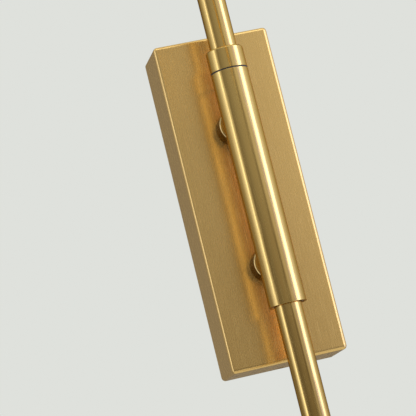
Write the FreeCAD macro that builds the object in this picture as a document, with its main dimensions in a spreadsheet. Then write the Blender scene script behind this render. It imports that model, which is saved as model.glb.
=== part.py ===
import FreeCAD, Part
import math
import os
import re
import Sketcher
from FreeCAD import Placement, Rotation, Vector

# Articulating wall lamp in satin brass.
# A box-shaped cover hides a steel wall bracket. Two turned posts on the cover carry an upright sleeve.
# A tall pole swivels in that sleeve and hangs on a stop collar. A fork on top of the pole takes a long arm
# that tilts, and a second fork at the arm's end takes the head: cup, lampholder, bulb and spun shade.
#
# Frame: X to the right, Y into the wall, Z up. The wall face is Y = 0 and the cover's centre is the origin.

doc = FreeCAD.newDocument("ArticulatingWallLamp")

# ---------------------------------------------------------------- sizes, in millimetres and degrees

SIZES = (
    ("cover_width", 70.0, "wall cover, left to right"),
    ("cover_height", 198.0, "wall cover, bottom to top"),
    ("cover_depth", 35.0, "wall cover, wall to front face"),
    ("cover_wall", 1.2, "brass sheet of the cover"),
    ("cover_edge_round", 2.2, "rounding of the cover's front edges"),
    ("cover_corner_round", 2.4, "rounding of the cover's four long corners"),
    ("cover_screw_inset", 4.4, "cover screw, from the wall"),
    ("cover_screw_hole_radius", 2.5, "hole in the cover's top and bottom walls"),
    ("bracket_thickness", 2.0, "steel of the wall bracket"),
    ("bracket_side_gap", 2.0, "bracket to the cover's side walls"),
    ("bracket_fit", 0.25, "bracket's ears to the cover's top and bottom walls"),
    ("ear_width", 22.0, "bent ear that takes the cover screw"),
    ("ear_depth", 11.0, "bent ear, from the wall"),
    ("ear_bend", 1.5, "inside rounding of the ear's bend"),
    ("wall_slot_spacing", 100.0, "between the two wall-screw slots"),
    ("wall_slot_length", 16.0, "wall-screw slot, end to end"),
    ("wall_slot_radius", 2.5, "half the wall-screw slot's width"),
    ("cable_entry_radius", 13.0, "hole in the bracket for the wall cable"),
    ("cover_screw_radius", 1.95, "cover screw's thread"),
    ("cover_screw_length", 6.0, "cover screw, end to end"),
    ("cover_screw_recess", 0.5, "cover screw's end below the cover's outer face"),
    ("thread_fit", 0.05, "radial room between a screw and its hole"),
    ("hex_key_radius", 1.15, "hexagon socket, centre to corner"),
    ("hex_key_depth", 2.0, "hexagon socket, depth"),
    ("stiffener_width", 56.0, "plate behind the cover's front face"),
    ("stiffener_overlap", 20.5, "plate's upper and lower edge past a post's axis"),
    ("stiffener_thickness", 2.0, "plate behind the cover's front face"),
    ("post_inset", 28.0, "post's axis, from the sleeve's end"),
    ("post_radius", 10.2, "post's round foot"),
    ("post_length", 12.5, "post's round foot, from the cover"),
    ("post_rim", 0.7, "chamfer round the foot's front face"),
    ("post_neck_radius", 6.0, "neck between foot and sleeve"),
    ("post_tail_radius", 5.0, "threaded tail inside the cover"),
    ("post_tail_length", 12.0, "threaded tail, from the cover's outer face"),
    ("post_bore_radius", 2.3, "way for the leads through a post"),
    ("post_seat_fit", 0.05, "neck's saddle to the sleeve"),
    ("spigot_radius", 3.0, "post's end inside the sleeve"),
    ("spigot_fit", 0.1, "radial room round the spigot in the sleeve"),
    ("washer_radius", 10.0, "washer under the tail's nut"),
    ("washer_thickness", 1.0, "washer under the tail's nut"),
    ("nut_radius", 8.1, "tail's nut, centre to corner"),
    ("nut_thickness", 4.0, "tail's nut"),
    ("sleeve_reach", 26.0, "cover's front face to the pole's axis"),
    ("sleeve_radius", 11.0, "sleeve, outside"),
    ("sleeve_wall", 1.5, "sleeve tube"),
    ("sleeve_length", 139.0, "sleeve, end to end"),
    ("tube_chamfer", 0.3, "broken edge at a tube's end"),
    ("bush_length", 18.0, "plain bearing in each end of the sleeve"),
    ("bush_inset", 0.3, "bush below the sleeve's lower end"),
    ("press_fit", 0.02, "radial room of parts pushed together"),
    ("running_fit", 0.05, "radial room of parts that turn on each other"),
    ("thrust_thickness", 0.8, "black washer between sleeve and collar"),
    ("thrust_edge", 0.25, "thrust washer inside the sleeve's outline"),
    ("pole_radius", 8.0, "pole, outside"),
    ("pole_wall", 1.2, "pole tube"),
    ("pole_length", 500.0, "pole tube, end to end"),
    ("pole_below", 215.0, "pole's lower end, below the cover's centre"),
    ("window_height", 9.0, "lead window in the pole"),
    ("window_spare", 0.5, "window's edge past the spigot at the end stops"),
    ("spigot_reach", 1.2, "lower spigot past the pole's inner wall"),
    ("collar_length", 12.8, "stop collar, end to end"),
    ("collar_chamfer", 0.8, "collar's upper edge"),
    ("grub_radius", 1.95, "collar's grub screw"),
    ("grub_sink", 0.3, "grub screw below the collar's outer face"),
    ("plug_length", 10.0, "push-in part of the pole's end cap"),
    ("cap_disc", 2.0, "straight edge of the pole's end cap"),
    ("cap_dome_radius", 14.0, "curve of the end cap's face"),
    ("fork_radius", 8.5, "fork, outside, and the round of its cheeks"),
    ("fork_base", 7.0, "solid foot of a fork"),
    ("fork_slot_depth", 15.5, "slot's floor to the pivot"),
    ("fork_slot_width", 8.0, "slot between a fork's cheeks"),
    ("fork_flat", 7.4, "flat on a cheek, from the middle"),
    ("fork_spigot_length", 12.0, "part of a fork that goes into its tube"),
    ("tongue_thickness", 7.0, "flat tongue between the cheeks"),
    ("tongue_neck_height", 9.0, "tongue's bar behind its disc"),
    ("elbow_neck", 23.0, "pivot to the arm's ferrule"),
    ("ferrule_radius", 7.2, "ferrule that holds the arm tube"),
    ("ferrule_length", 18.0, "ferrule that holds the arm tube"),
    ("ferrule_depth", 13.0, "arm tube's seat inside the ferrule"),
    ("ferrule_chamfer", 0.8, "ferrule's open edge"),
    ("pivot_radius", 2.5, "shank of a pivot bolt"),
    ("pivot_head_radius", 5.5, "head of a pivot bolt"),
    ("pivot_head_thickness", 2.4, "head of a pivot bolt"),
    ("pivot_head_chamfer", 0.6, "edge of a pivot bolt's head"),
    ("pivot_thread_length", 6.0, "bolt's end inside the thumb nut"),
    ("thumb_radius", 8.0, "thumb nut, outside"),
    ("thumb_length", 9.0, "thumb nut, along its axis"),
    ("thumb_bore_depth", 6.6, "thumb nut's blind hole"),
    ("thumb_chamfer", 0.8, "thumb nut's outer edge"),
    ("flute_radius", 1.4, "grip grooves round a thumb nut"),
    ("flute_count", 10.0, "grip grooves round a thumb nut"),
    ("arm_radius", 6.0, "arm tube, outside"),
    ("arm_wall", 1.0, "arm tube"),
    ("arm_length", 340.0, "arm tube, end to end"),
    ("head_neck", 20.0, "pivot to the head's collar"),
    ("head_collar_radius", 7.2, "round collar on top of the cup"),
    ("head_collar_length", 8.0, "round collar on top of the cup"),
    ("nipple_radius", 5.0, "threaded nipple inside the cup"),
    ("nipple_length", 9.0, "threaded nipple inside the cup"),
    ("head_nut_thickness", 3.0, "nut under the cup's top"),
    ("cup_radius", 18.0, "cup, outside"),
    ("cup_wall", 1.0, "cup's brass sheet"),
    ("cup_length", 40.0, "cup, top to rim"),
    ("cup_round", 5.0, "cup's upper rounding"),
    ("holder_radius", 15.5, "lampholder's body"),
    ("holder_skirt_radius", 13.9, "threaded skirt below the shade"),
    ("holder_skirt_length", 12.0, "threaded skirt below the shade"),
    ("holder_mouth_radius", 12.0, "lampholder's mouth"),
    ("holder_mouth_depth", 8.2, "lampholder's mouth"),
    ("holder_socket_depth", 30.0, "lampholder's screw socket, from its mouth end"),
    ("nipple_hole_depth", 6.0, "lampholder's hole for the nipple"),
    ("lamp_cap_radius", 6.9, "bulb's screw cap"),
    ("lamp_cap_length", 21.0, "bulb's screw cap"),
    ("lamp_cap_tip_radius", 3.0, "contact at the cap's end"),
    ("lamp_cap_tip_length", 2.0, "contact at the cap's end"),
    ("lamp_fit", 0.1, "radial room round the cap"),
    ("glass_radius", 22.5, "bulb's globe"),
    ("glass_height", 34.0, "globe's centre, from the cap's rim"),
    ("glass_neck_radius", 9.5, "bulb's glass neck"),
    ("glass_neck_length", 6.0, "bulb's glass neck"),
    ("glass_wall", 0.8, "bulb's glass"),
    ("glass_angle", 33.0, "where the neck's cone meets the globe, below its equator"),
    ("shade_top_radius", 17.0, "shade's flat top"),
    ("shade_hole_fit", 0.2, "shade's hole round the skirt"),
    ("shade_round", 9.0, "shade's shoulder"),
    ("shade_lean", 16.3, "shade's side, from upright"),
    ("shade_height", 90.0, "shade, top to rim"),
    ("shade_wall", 0.8, "shade's brass sheet"),
    ("shade_hem_height", 2.4, "folded hem at the rim"),
    ("shade_hem_proud", 0.7, "folded hem, beyond the side"),
    ("ring_radius", 16.6, "threaded ring under the shade"),
    ("ring_length", 5.0, "threaded ring under the shade"),
    ("switch_drop", 20.0, "switch knob's axis below the cup's top"),
    ("switch_stem_radius", 1.6, "switch knob's stem"),
    ("switch_stem_hole_radius", 2.2, "hole in the cup for the stem"),
    ("switch_stem_sink", 3.0, "stem's end inside the lampholder"),
    ("switch_stem_room", 0.5, "stem's end to the bottom of its hole"),
    ("switch_gap", 0.4, "knob to the cup"),
    ("switch_radius", 6.0, "switch knob, outside"),
    ("switch_length", 8.0, "switch knob, along its axis"),
    ("switch_chamfer", 0.8, "switch knob's outer edge"),
    ("switch_flute_radius", 1.0, "grip grooves round the switch knob"),
    ("switch_flute_count", 8.0, "grip grooves round the switch knob"),
    ("overshoot", 1.0, "how far a cutting shape starts outside its piece"),
    ("block_width", 25.0, "terminal block"),
    ("block_height", 15.0, "terminal block"),
    ("block_depth", 12.0, "terminal block"),
    ("block_drop", 26.0, "terminal block's centre below the cover's centre"),
    ("block_pitch", 8.0, "between its terminals"),
    ("block_hole_radius", 1.7, "hole for a lead"),
    ("block_screw_radius", 1.75, "terminal screw"),
    ("block_screw_length", 4.0, "terminal screw"),
    ("block_screw_recess", 0.5, "terminal screw below the block's face"),
    ("earth_rise", 24.0, "earth screw above the cover's centre"),
    ("earth_screw_radius", 2.0, "earth screw's thread"),
    ("earth_head_radius", 3.8, "earth screw's head"),
    ("earth_head_height", 2.6, "earth screw's head"),
    ("earth_washer_thickness", 0.8, "washer under the earth screw's head"),
    ("earth_washer_radius", 4.5, "washer under the earth screw's head"),
)

# Places worked out from the sizes.
PLACES = {
    "axis_y": "-(cover_depth + sleeve_reach)",
    "cover_inside_y": "-(cover_depth - cover_wall)",
    "post_z": "sleeve_length / 2 - post_inset",
    "ear_z": "cover_height / 2 - cover_wall - bracket_fit",
    "sleeve_top": "sleeve_length / 2",
    "sleeve_bore": "sleeve_radius - sleeve_wall",
    "pole_bore": "pole_radius - pole_wall",
    "arm_bore": "arm_radius - arm_wall",
    "collar_z": "sleeve_top + thrust_thickness",
    "pole_above": "pole_length - pole_below",
    "pivot_height": "fork_base + fork_slot_depth",
    "fork_height": "pivot_height + fork_radius",
    "elbow_z": "pole_above + pivot_height",
    "tube_seat": "elbow_neck + ferrule_length - ferrule_depth",
    "arm_end_y": "axis_y - tube_seat - arm_length",
    "head_y": "arm_end_y - pivot_height",
    "cup_top_z": "elbow_z - head_neck - head_collar_length",
    "holder_top": "cup_wall + head_nut_thickness",
    "holder_length": "cup_length + holder_skirt_length - holder_top",
    "lamp_z": "cup_top_z - cup_length - holder_skirt_length + holder_mouth_depth",
    "switch_z": "cup_top_z - switch_drop",
    "pivot_hole": "pivot_radius + running_fit",
    "shade_side": "90 - shade_lean",
    "block_z": "-block_drop",
}

sheet = doc.addObject("Spreadsheet::Sheet", "Sizes")
for row, (alias, size, meaning) in enumerate(SIZES, start=1):
    sheet.set(f"A{row}", alias)
    sheet.set(f"B{row}", str(size))
    sheet.set(f"C{row}", meaning)
    sheet.setAlias(f"B{row}", alias)
doc.recompute()
ALIASES = {alias for alias, size, meaning in SIZES}

# ---------------------------------------------------------------- ways of turning a piece from its own frame

UP = Rotation(Vector(1, 0, 0), 0)
DOWN = Rotation(Vector(1, 0, 0), 180)
OUT_FROM_WALL = Rotation(Vector(1, 0, 0), 90)
TO_THE_RIGHT = Rotation(Vector(0, 1, 0), 90)
TOWARDS_WALL = Rotation(Vector(1, 0, 0), -90)

HALF = "half"
NEAR = 1e-3
FLUTE_SHARE = 1 / 3
HOLLOW_STEPS = 4

pieces = []


def formula(text):
    """The text with each size's name led back to its cell, and each place written out."""

    def word(match):
        name = match.group(0)
        if name in PLACES:
            return "(" + formula(PLACES[name]) + ")"
        return "Sizes." + name if name in ALIASES else name

    return re.sub(r"[a-z][a-z_]*", word, str(text))


def number(text):
    """What a formula comes to."""
    return float(sheet.evalExpression(formula(text)))


def bind(thing, prop, text):
    thing.setExpression(prop, formula(text))


def place(piece, x="0", y="0", z="0", turn=UP):
    """Turns a piece and ties its origin to a point of the lamp's frame."""
    piece.Placement = Placement(Vector(0, 0, 0), turn)
    for axis, text in (("x", x), ("y", y), ("z", z)):
        bind(piece, f"Placement.Base.{axis}", text)
    return piece


def keep(piece, label):
    """Names a finished sub-part."""
    piece.Label = label
    pieces.append(piece)
    return piece


# ---------------------------------------------------------------- sketches and features


def new_body(name):
    return doc.addObject("PartDesign::Body", name)


def new_sketch(body, role, height="0"):
    """A sketch on one of the body's own origin planes, lifted along that plane's normal."""
    sketch = body.newObject("Sketcher::SketchObject", "Sketch")
    plane = next(feature for feature in body.Origin.OriginFeatures if feature.Role == role)
    sketch.AttachmentSupport = [(plane, "")]
    sketch.MapMode = "FlatFace"
    if height != "0":
        bind(sketch, "AttachmentOffset.Base.z", height)
    return sketch


def pin_point(sketch, line, end, x, y):
    """Ties one point of a sketch to two formulas, measured from the sketch's origin."""
    for kind, axis, text in (("DistanceX", -2, x), ("DistanceY", -1, y)):
        if text == "0":
            sketch.addConstraint(Sketcher.Constraint("PointOnObject", line, end, axis))
        else:
            index = sketch.addConstraint(Sketcher.Constraint(kind, -1, 1, line, end, number(text)))
            bind(sketch, f"Constraints[{index}]", text)


def draw_circle(sketch, x, y, radius):
    ring = Part.Circle(Vector(number(x), number(y), 0), Vector(0, 0, 1), number(radius))
    line = sketch.addGeometry(ring)
    pin_point(sketch, line, 3, x, y)
    index = sketch.addConstraint(Sketcher.Constraint("Radius", line, number(radius)))
    bind(sketch, f"Constraints[{index}]", radius)


def arc_between(start, end, radius, side):
    """The short arc from start to end that bulges to the left (side 1) or right (side -1) of that way.
    It is drawn anticlockwise, so one that bulges to the left begins at its end."""
    chord = end - start
    left = Vector(-chord.y, chord.x, 0).normalize()
    drop = max(radius * radius - chord.Length * chord.Length / 4, 0.0) ** 0.5
    centre = (start + end) * 0.5 - left * (side * drop)
    first, last = (start, end) if side < 0 else (end, start)
    angles = [math.atan2(spot.y - centre.y, spot.x - centre.x) for spot in (first, last)]
    if angles[1] < angles[0]:
        angles[1] += 2 * math.pi
    return Part.ArcOfCircle(Part.Circle(centre, Vector(0, 0, 1), radius), *angles)


def draw_outline(sketch, points):
    """A closed outline. A point is (x, y), or (x, y, radius, side) where an arc leaves it. The radius HALF is
    a half circle across a level chord."""
    spots = [Vector(number(point[0]), number(point[1]), 0) for point in points]
    ends = []
    for index, point in enumerate(points):
        start = spots[index]
        end = spots[(index + 1) % len(spots)]
        if len(point) == 2:
            line = sketch.addGeometry(Part.LineSegment(start, end))
            ends.append((line, 1, 2))
            continue
        half = point[2] == HALF
        size = (end - start).Length / 2 if half else number(point[2])
        line = sketch.addGeometry(arc_between(start, end, size, point[3]))
        ends.append((line, 1, 2) if point[3] < 0 else (line, 2, 1))
        if half:
            rule = Sketcher.Constraint("DistanceY", -1, 1, line, 3, number(point[1]))
        else:
            rule = Sketcher.Constraint("Radius", line, size)
        bind(sketch, f"Constraints[{sketch.addConstraint(rule)}]", point[1] if half else point[2])
    for index, (line, first, last) in enumerate(ends):
        after, after_first, after_last = ends[(index + 1) % len(ends)]
        sketch.addConstraint(Sketcher.Constraint("Coincident", line, last, after, after_first))
        pin_point(sketch, line, first, points[index][0], points[index][1])


def draw_rectangle(sketch, left, bottom, right, top):
    draw_outline(sketch, [(left, bottom), (right, bottom), (right, top), (left, top)])


def pad(body, sketch, length, both_ways=False, reverse=False):
    feature = body.newObject("PartDesign::Pad", "Pad")
    feature.Profile = sketch
    feature.SideType = "Symmetric" if both_ways else "One side"
    feature.Reversed = reverse
    bind(feature, "Length", length)
    doc.recompute()
    return feature


def pocket(body, sketch, length=None, reverse=False):
    """Cuts the sketch to a depth, or right through both ways where no depth is given."""
    before = body.Shape.Volume
    feature = body.newObject("PartDesign::Pocket", "Pocket")
    feature.Profile = sketch
    if length is None:
        feature.Type = "ThroughAll"
        feature.SideType = "Symmetric"
    else:
        feature.Type = "Length"
        feature.Reversed = reverse
        bind(feature, "Length", length)
    doc.recompute()
    if not body.Shape.Volume < before:
        raise RuntimeError(f"{body.Name}: {feature.Name} cuts nothing")
    return feature


def revolve(body, sketch):
    feature = body.newObject("PartDesign::Revolution", "Revolution")
    feature.Profile = sketch
    feature.ReferenceAxis = (sketch, ["V_Axis"])
    feature.Angle = 360.0
    doc.recompute()
    return feature


def turned(name, points):
    """A body turned about its own Z axis from an outline of (radius, height) points."""
    body = new_body(name)
    sketch = new_sketch(body, "XZ_Plane")
    draw_outline(sketch, points)
    revolve(body, sketch)
    return body


def tube(name, outer, inner, length, chamfer):
    """A turned tube that stands on its own XY plane, with both outer edges broken."""
    return turned(
        name,
        [
            (inner, "0"),
            (f"{outer} - {chamfer}", "0"),
            (outer, chamfer),
            (outer, f"{length} - {chamfer}"),
            (f"{outer} - {chamfer}", length),
            (inner, length),
        ],
    )


def drill(body, role, x, y, radius):
    """A round hole right through the body, square to one of its origin planes."""
    sketch = new_sketch(body, role)
    draw_circle(sketch, x, y, radius)
    pocket(body, sketch)


def flutes(body, radius, rim, count):
    """Grip grooves round a turned knob, a little less than half a circle deep."""
    sketch = new_sketch(body, "XY_Plane")
    draw_circle(sketch, f"{rim} + {radius} * {FLUTE_SHARE}", "0", radius)
    groove = pocket(body, sketch)
    pattern = body.newObject("PartDesign::PolarPattern", "Flutes")
    pattern.Originals = [groove]
    pattern.Axis = (sketch, ["N_Axis"])
    pattern.Angle = 360.0
    bind(pattern, "Occurrences", count)
    body.Tip = pattern
    doc.recompute()


def edges_where(shape, test):
    """The names of a shape's edges that pass a test on their bounding box."""
    return [f"Edge{index}" for index, edge in enumerate(shape.Edges, start=1) if test(edge.BoundBox)]


def round_edges(body, radius, test):
    base = body.Tip
    feature = body.newObject("PartDesign::Fillet", "Fillet")
    feature.Base = (base, edges_where(base.Shape, test))
    bind(feature, "Radius", radius)
    doc.recompute()
    return feature


def cylinder(name, radius, height):
    solid = doc.addObject("Part::Cylinder", name)
    bind(solid, "Radius", radius)
    bind(solid, "Height", height)
    return solid


def hexagon(name, radius, height):
    solid = doc.addObject("Part::Prism", name)
    solid.Polygon = 6
    bind(solid, "Circumradius", radius)
    bind(solid, "Height", height)
    return solid


def cut(name, base, tool):
    solid = doc.addObject("Part::Cut", name)
    solid.Base = base
    solid.Tool = tool
    return solid


def ring(name, outer, inner, height):
    return cut(name, cylinder(name + "Disc", outer, height), cylinder(name + "Hole", inner, height))


def hex_nut(name, radius, bore, height):
    return cut(name, hexagon(name + "Block", radius, height), cylinder(name + "Bore", bore, height))


def grub_screw(name, radius, length):
    """A headless screw with a hexagon socket in its upper end."""
    socket = hexagon(name + "Socket", "hex_key_radius", "hex_key_depth")
    bind(socket, "Placement.Base.z", f"{length} - hex_key_depth")
    return cut(name, cylinder(name + "Rod", radius, length), socket)


def group(label, members):
    """Like pieces that share one node, as separate solids."""
    compound = doc.addObject("Part::Compound", label)
    compound.Links = members
    return keep(compound, label)


# ---------------------------------------------------------------- wall bracket


def wall_bracket():
    """A steel strap with an ear bent forward at each end, two wall slots and a cable hole."""
    body = new_body("WallBracket")
    half_width = "cover_width / 2 - cover_wall - bracket_side_gap"
    sketch = new_sketch(body, "XZ_Plane")
    draw_rectangle(sketch, f"-({half_width})", "-(ear_z)", half_width, "ear_z")
    pad(body, sketch, "bracket_thickness")
    sketch = new_sketch(body, "XZ_Plane")
    for low, high in (("-(ear_z)", "-(ear_z - bracket_thickness)"), ("ear_z - bracket_thickness", "ear_z")):
        draw_rectangle(sketch, "-ear_width / 2", low, "ear_width / 2", high)
    pad(body, sketch, "ear_depth")
    bend_y = -number("bracket_thickness")
    bend_z = number("ear_z - bracket_thickness")
    round_edges(
        body,
        "ear_bend",
        lambda box: abs(box.YMin - bend_y) < NEAR
        and abs(box.YMax - bend_y) < NEAR
        and abs(abs(box.ZMin) - bend_z) < NEAR
        and box.ZLength < NEAR
        and abs(box.XLength - number("ear_width")) < NEAR,
    )
    sketch = new_sketch(body, "XZ_Plane")
    draw_circle(sketch, "0", "0", "cable_entry_radius")
    straight = "(wall_slot_length / 2 - wall_slot_radius)"
    for middle in ("wall_slot_spacing / 2", "-wall_slot_spacing / 2"):
        draw_outline(
            sketch,
            [
                ("-wall_slot_radius", f"{middle} - {straight}", HALF, -1),
                ("wall_slot_radius", f"{middle} - {straight}"),
                ("wall_slot_radius", f"{middle} + {straight}", HALF, -1),
                ("-wall_slot_radius", f"{middle} + {straight}"),
            ],
        )
    draw_circle(sketch, "0", "earth_rise", "earth_screw_radius + thread_fit")
    pocket(body, sketch)
    drill(body, "XY_Plane", "0", "-cover_screw_inset", "cover_screw_radius + thread_fit")
    return keep(body, "wall_bracket")


# ---------------------------------------------------------------- cover and what holds it


def back_cover():
    """The brass box over the bracket, open at the wall, with rounded front edges."""
    body = new_body("BackCover")
    sketch = new_sketch(body, "XZ_Plane")
    draw_rectangle(sketch, "-cover_width / 2", "-cover_height / 2", "cover_width / 2", "cover_height / 2")
    pad(body, sketch, "cover_depth")
    depth = number("cover_depth")
    round_edges(body, "cover_corner_round", lambda box: abs(box.YLength - depth) < NEAR)
    round_edges(
        body,
        "cover_edge_round",
        lambda box: abs(box.YMax + depth) < NEAR and abs(box.YMin + depth) < NEAR,
    )
    sketch = new_sketch(body, "XZ_Plane")
    half_width = "(cover_width / 2 - cover_wall)"
    half_height = "(cover_height / 2 - cover_wall)"
    draw_rectangle(sketch, f"-{half_width}", f"-{half_height}", half_width, half_height)
    pocket(body, sketch, "cover_depth - cover_wall", reverse=True)
    sketch = new_sketch(body, "XZ_Plane")
    for height in ("post_z", "-(post_z)"):
        draw_circle(sketch, "0", height, "post_tail_radius + thread_fit")
    pocket(body, sketch)
    drill(body, "XY_Plane", "0", "-cover_screw_inset", "cover_screw_hole_radius")
    return keep(body, "back_cover")


def stiffener_plate():
    """A steel plate against the front face from inside, which spreads the posts' load."""
    body = new_body("StiffenerPlate")
    sketch = new_sketch(body, "XZ_Plane", "-(cover_inside_y) - stiffener_thickness")
    half_height = "(post_z + stiffener_overlap)"
    draw_rectangle(sketch, "-stiffener_width / 2", f"-{half_height}", "stiffener_width / 2", half_height)
    for height in ("post_z", "-(post_z)"):
        draw_circle(sketch, "0", height, "post_tail_radius + thread_fit")
    pad(body, sketch, "stiffener_thickness")
    return keep(body, "stiffener_plate")


def cover_screws():
    """Two headless screws in the bracket's ears, wound out into the cover's holes to lock it."""
    upper = grub_screw("UpperCoverScrew", "cover_screw_radius", "cover_screw_length")
    lower = grub_screw("LowerCoverScrew", "cover_screw_radius", "cover_screw_length")
    start = "cover_height / 2 - cover_screw_recess - cover_screw_length"
    place(upper, y="-cover_screw_inset", z=start)
    place(lower, y="-cover_screw_inset", z=f"-({start})", turn=DOWN)
    return group("cover_screws", [upper, lower])


# ---------------------------------------------------------------- posts, sleeve and bearings


def standoff(label, name, height, spigot_end):
    """A turned post: threaded tail, round foot, neck saddled to the sleeve, hollow spigot."""
    foot = "(post_tail_length + post_length)"
    to_axis = "(post_tail_length + sleeve_reach)"
    body = turned(
        name,
        [
            ("0", "0"),
            ("post_tail_radius", "0"),
            ("post_tail_radius", "post_tail_length"),
            ("post_radius", "post_tail_length"),
            ("post_radius", f"{foot} - post_rim"),
            ("post_radius - post_rim", foot),
            ("post_neck_radius", foot),
            ("post_neck_radius", f"{to_axis} - sleeve_bore"),
            ("0", f"{to_axis} - sleeve_bore"),
        ],
    )
    sketch = new_sketch(body, "XZ_Plane")
    draw_circle(sketch, "0", to_axis, "sleeve_radius + post_seat_fit")
    pocket(body, sketch)
    sketch = new_sketch(body, "XY_Plane", foot)
    draw_circle(sketch, "0", "0", "spigot_radius")
    pad(body, sketch, f"{to_axis} - ({spigot_end}) - {foot}")
    drill(body, "XY_Plane", "0", "0", "post_bore_radius")
    place(body, y="-cover_depth + post_tail_length", z=height, turn=OUT_FROM_WALL)
    return keep(body, label)


def standoff_washers():
    washers = []
    for name, height in (("UpperWasher", "post_z"), ("LowerWasher", "-(post_z)")):
        washer = ring(name, "washer_radius", "post_tail_radius + thread_fit", "washer_thickness")
        back = "cover_inside_y + stiffener_thickness + washer_thickness"
        washers.append(place(washer, y=back, z=height, turn=OUT_FROM_WALL))
    return group("standoff_washers", washers)


def standoff_nuts():
    nuts = []
    for name, height in (("UpperNut", "post_z"), ("LowerNut", "-(post_z)")):
        nut = hex_nut(name, "nut_radius", "post_tail_radius + thread_fit", "nut_thickness")
        back = "cover_inside_y + stiffener_thickness + washer_thickness + nut_thickness"
        nuts.append(place(nut, y=back, z=height, turn=OUT_FROM_WALL))
    return group("standoff_nuts", nuts)


def pivot_sleeve():
    """The upright tube that the pole turns in, with a hole at its back for each post."""
    body = tube("PivotSleeve", "sleeve_radius", "sleeve_bore", "sleeve_length", "tube_chamfer")
    for height in ("sleeve_length / 2 + post_z", "sleeve_length / 2 - (post_z)"):
        sketch = new_sketch(body, "XZ_Plane")
        draw_circle(sketch, "0", height, "spigot_radius + spigot_fit")
        pocket(body, sketch, "sleeve_radius + overshoot")
    place(body, y="axis_y", z="-sleeve_length / 2")
    return keep(body, "pivot_sleeve")


def bush(label, name, bottom):
    """A plain bearing pushed into one end of the sleeve."""
    bearing = ring(name, "sleeve_bore - press_fit", "pole_radius + running_fit", "bush_length")
    place(bearing, y="axis_y", z=bottom)
    return keep(bearing, label)


def thrust_washer():
    """The thin black washer that shows as a dark line between sleeve and collar."""
    washer = ring(
        "ThrustWasher", "sleeve_radius - thrust_edge", "pole_radius + running_fit", "thrust_thickness"
    )
    place(washer, y="axis_y", z="sleeve_top")
    return keep(washer, "thrust_washer")


# ---------------------------------------------------------------- pole and what is fixed to it


def pole():
    """The long tube, with a window on its wall side that clears the lower spigot as the pole turns."""
    body = tube("Pole", "pole_radius", "pole_bore", "pole_length", "tube_chamfer")
    sketch = new_sketch(body, "XY_Plane", "pole_below - post_z - window_height / 2")
    edge = "-(spigot_radius + window_spare)"
    side = "pole_radius + overshoot"
    draw_rectangle(sketch, f"-({side})", edge, side, side)
    pocket(body, sketch, "window_height", reverse=True)
    place(body, y="axis_y", z="-pole_below")
    return keep(body, "pole")


def stop_collar():
    """The ring above the sleeve that carries the pole, held by a grub screw at its back."""
    body = turned(
        "StopCollar",
        [
            ("pole_radius + press_fit", "0"),
            ("sleeve_radius - tube_chamfer", "0"),
            ("sleeve_radius", "tube_chamfer"),
            ("sleeve_radius", "collar_length - collar_chamfer"),
            ("sleeve_radius - collar_chamfer", "collar_length"),
            ("pole_radius + press_fit", "collar_length"),
        ],
    )
    sketch = new_sketch(body, "XZ_Plane")
    draw_circle(sketch, "0", "collar_length / 2", "grub_radius + thread_fit")
    pocket(body, sketch, "sleeve_radius + overshoot")
    place(body, y="axis_y", z="collar_z")
    return keep(body, "stop_collar")


def collar_grub_screw():
    """Seated on the pole, its socket end just below the collar's face."""
    length = "(sleeve_radius - grub_sink - pole_radius - press_fit)"
    screw = cut(
        "CollarGrubScrew",
        cylinder("CollarGrubRod", "grub_radius", length),
        hexagon("CollarGrubSocket", "hex_key_radius", f"{length} / 2"),
    )
    bind(screw.Tool, "Placement.Base.z", f"{length} / 2")
    place(screw, y="axis_y + pole_radius + press_fit", z="collar_z + collar_length / 2", turn=TOWARDS_WALL)
    return keep(screw, "collar_grub_screw")


def pole_end_cap():
    """A turned plug with a domed face that closes the pole's lower end."""
    body = turned(
        "PoleEndCap",
        [
            ("0", "-plug_length"),
            ("pole_bore - press_fit", "-plug_length"),
            ("pole_bore - press_fit", "0"),
            ("pole_radius", "0"),
            ("pole_radius", "cap_disc", "cap_dome_radius", -1),
            ("0", "cap_disc + cap_dome_radius - sqrt(cap_dome_radius ^ 2 - pole_radius ^ 2)"),
        ],
    )
    place(body, y="axis_y", z="-pole_below", turn=DOWN)
    return keep(body, "pole_end_cap")


# ---------------------------------------------------------------- forks, tongues, pivot bolts and thumb nuts


def fork(label, name, spigot_radius, shoulder_radius):
    """A turned fork that plugs into a tube: tapered foot, milled slot, rounded cheeks with flats, pivot hole.
    Its own Z axis runs along the tube, and its pivot along X."""
    body = turned(
        name,
        [
            ("0", "-fork_spigot_length"),
            (spigot_radius, "-fork_spigot_length"),
            (spigot_radius, "0"),
            (shoulder_radius, "0"),
            ("fork_radius", "fork_base / 2"),
            ("fork_radius", "fork_height"),
            ("0", "fork_height"),
        ],
    )
    above = "fork_height + overshoot"
    sketch = new_sketch(body, "XZ_Plane")
    draw_rectangle(sketch, "-fork_slot_width / 2", "fork_base", "fork_slot_width / 2", above)
    pocket(body, sketch)
    sketch = new_sketch(body, "YZ_Plane")
    draw_outline(
        sketch,
        [
            ("-fork_radius", "pivot_height"),
            ("-fork_radius", above),
            ("fork_radius", above),
            ("fork_radius", "pivot_height", HALF, -1),
        ],
    )
    pocket(body, sketch)
    sketch = new_sketch(body, "XZ_Plane")
    low = "pivot_height - fork_radius"
    draw_rectangle(sketch, "-fork_radius - overshoot", low, "-fork_flat", above)
    draw_rectangle(sketch, "fork_flat", low, "fork_radius + overshoot", above)
    pocket(body, sketch)
    drill(body, "YZ_Plane", "0", "pivot_height", "pivot_hole")
    return keep(body, label)


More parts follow.
